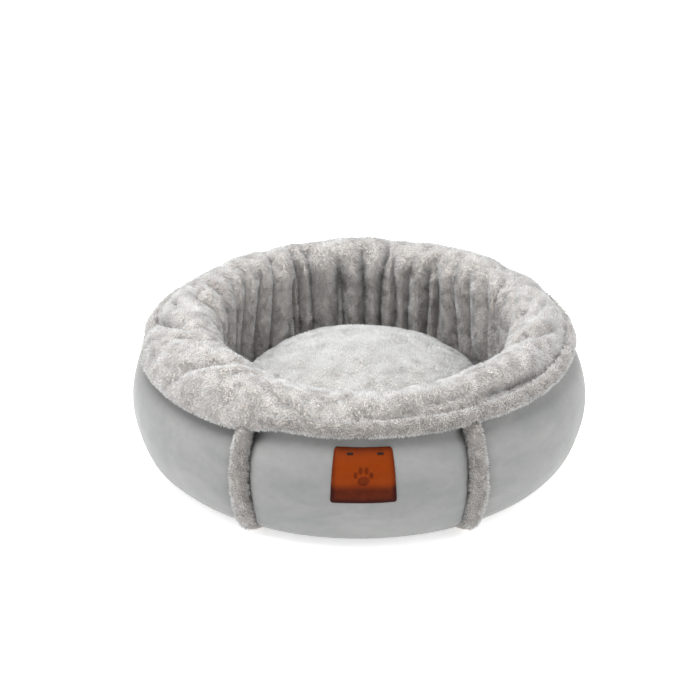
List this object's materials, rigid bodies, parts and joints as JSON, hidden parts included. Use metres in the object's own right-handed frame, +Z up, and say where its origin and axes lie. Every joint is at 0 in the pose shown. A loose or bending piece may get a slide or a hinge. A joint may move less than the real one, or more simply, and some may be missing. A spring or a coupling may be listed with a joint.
{
  "type": "pet cushion bed",
  "caption": "Round nest bed for a cat or small dog: soft grey wall, gathered plush lining and lip, leather label and a loose plush cushion.",
  "frame": {"origin": "middle of the underside", "axes": "+Z up, -Y to the front, where the label is"},
  "size_m": [0.4999, 0.502, 0.1639],
  "materials": {
    "plush_grey": "matte",
    "plush_light": "matte",
    "suede_grey": "matte",
    "leather_brown": "satin",
    "thread_dark": "matte",
    "fibre_fill": "matte",
    "cotton_cord": "matte",
    "elastic": "matte",
    "foam": "matte",
    "lining_cloth": "matte",
    "base_cloth": "matte"
  },
  "bodies": {
    "nest": {"rim_piping": "plush_grey", "rim_piping_cord": "cotton_cord", "wall_strip_front_left": "plush_grey", "wall_strip_front_right": "plush_grey", "wall_strip_back_left": "plush_grey", "wall_strip_back_right": "plush_grey", "wall_strip_cord_front_left": "cotton_cord", "wall_strip_cord_front_right": "cotton_cord", "wall_strip_cord_back_left": "cotton_cord", "wall_strip_cord_back_right": "cotton_cord", "plush_lining": "plush_grey", "gather_elastic": "elastic", "bolster_filling": "fibre_fill", "wall_panel_front": "suede_grey", "wall_panel_right": "suede_grey", "wall_panel_back": "suede_grey", "wall_panel_left": "suede_grey", "base_pad": "foam", "floor_fabric": "lining_cloth", "base_cover": "base_cloth", "label_patch": "leather_brown", "label_stitches": "thread_dark"},
    "cushion": {"cushion_top_cover": "plush_light", "cushion_bottom_cover": "lining_cloth", "cushion_filling": "fibre_fill"}
  },
  "joints": [
    {"name": "cushion_lift", "type": "slide", "parent": "nest", "child": "cushion", "axis": [0, 0, 1], "range_m": [0, 0.22]}
  ]
}
